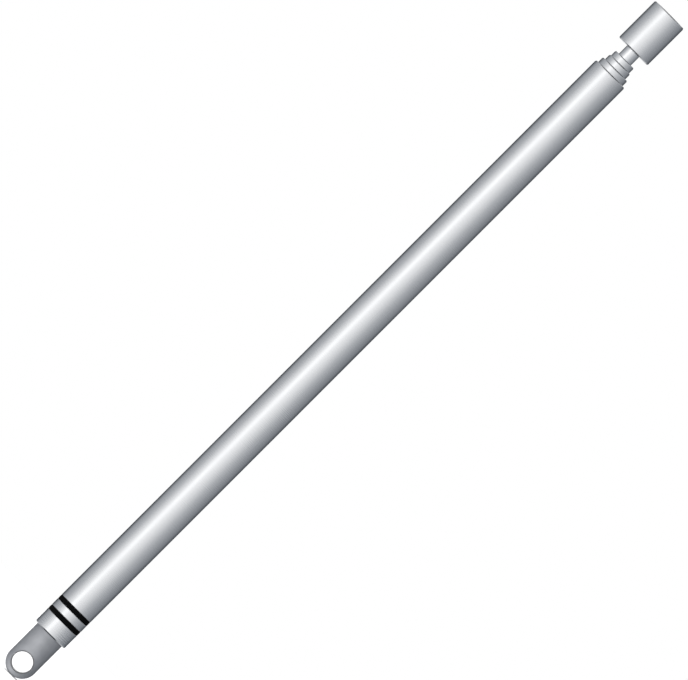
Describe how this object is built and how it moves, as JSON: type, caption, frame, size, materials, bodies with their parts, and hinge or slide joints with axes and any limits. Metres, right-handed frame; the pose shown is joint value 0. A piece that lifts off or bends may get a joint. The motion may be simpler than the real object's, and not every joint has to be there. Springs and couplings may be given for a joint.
{
  "type": "telescopic hydraulic cylinder",
  "caption": "Slim telescopic hydraulic cylinder with a base pin eye, a banded base cap, nested sleeves with stepped gland nuts, and a plunger with a cylindrical head.",
  "frame": {"origin": "centre of the base pin hole", "axes": "+Z along the cylinder from the pin eye to the head; +Y along the base pin, towards the oil port"},
  "size_m": [0.095, 0.095, 2.202],
  "materials": {
    "bright_steel": "turned and polished, satin",
    "hard_chrome": "ground and polished",
    "forged_steel": "dull, machined forging",
    "hardened_steel": "ground",
    "spring_steel": "oil-blackened",
    "zinced_steel": "zinc plated",
    "bronze": "turned bearing bronze",
    "black_rubber": "moulded, matt",
    "seal_polyurethane": "moulded, semi-gloss",
    "guide_resin": "fabric-reinforced resin, machined"
  },
  "bodies": {
    "base": {"base_eye": "forged_steel", "eye_bush": "hardened_steel", "base_cap": "bright_steel", "lower_band": "black_rubber", "lock_ring": "bright_steel", "upper_band": "black_rubber", "base_seal_ring": "black_rubber", "barrel_tube": "bright_steel", "barrel_gland_nut": "bright_steel", "barrel_wiper": "seal_polyurethane", "barrel_rod_seal": "seal_polyurethane", "barrel_guide_bush": "bronze"},
    "stage_1": {"stage_1_tube": "hard_chrome", "stage_1_gland_nut": "bright_steel", "stage_1_wiper": "seal_polyurethane", "stage_1_rod_seal": "seal_polyurethane", "stage_1_guide_bush": "bronze", "stage_1_foot_guide": "guide_resin", "stage_1_stop_ring": "spring_steel"},
    "stage_2": {"stage_2_tube": "hard_chrome", "stage_2_gland_nut": "bright_steel", "stage_2_wiper": "seal_polyurethane", "stage_2_rod_seal": "seal_polyurethane", "stage_2_guide_bush": "bronze", "stage_2_foot_guide": "guide_resin", "stage_2_stop_ring": "spring_steel"},
    "stage_3": {"stage_3_tube": "hard_chrome", "stage_3_gland_nut": "bright_steel", "stage_3_wiper": "seal_polyurethane", "stage_3_rod_seal": "seal_polyurethane", "stage_3_guide_bush": "bronze", "stage_3_foot_guide": "guide_resin", "stage_3_stop_ring": "spring_steel"},
    "plunger_guide": {"plunger_foot_guide": "guide_resin", "plunger_stop_ring": "spring_steel"},
    "plunger": {"plunger_tube": "hard_chrome", "plunger_stud": "zinced_steel", "head": "bright_steel", "head_set_screw_1": "zinced_steel", "head_set_screw_2": "zinced_steel", "bleed_screw": "zinced_steel"}
  },
  "joints": [
    {"name": "stage_1_slide", "type": "slide", "parent": "base", "child": "stage_1", "axis": [0, 0, 1], "range_m": [0, 1.575]},
    {"name": "stage_2_slide", "type": "slide", "parent": "stage_1", "child": "stage_2", "axis": [0, 0, 1], "range_m": [0, 1.575]},
    {"name": "stage_3_slide", "type": "slide", "parent": "stage_2", "child": "stage_3", "axis": [0, 0, 1], "range_m": [0, 1.575]},
    {"name": "plunger_slide", "type": "slide", "parent": "stage_3", "child": "plunger_guide", "axis": [0, 0, 1], "range_m": [0, 1.575]},
    {"name": "plunger_turn", "type": "hinge", "parent": "plunger_guide", "child": "plunger", "pos_m": [0, 0, 2.1], "axis": [0, 0, 1], "continuous": true}
  ]
}
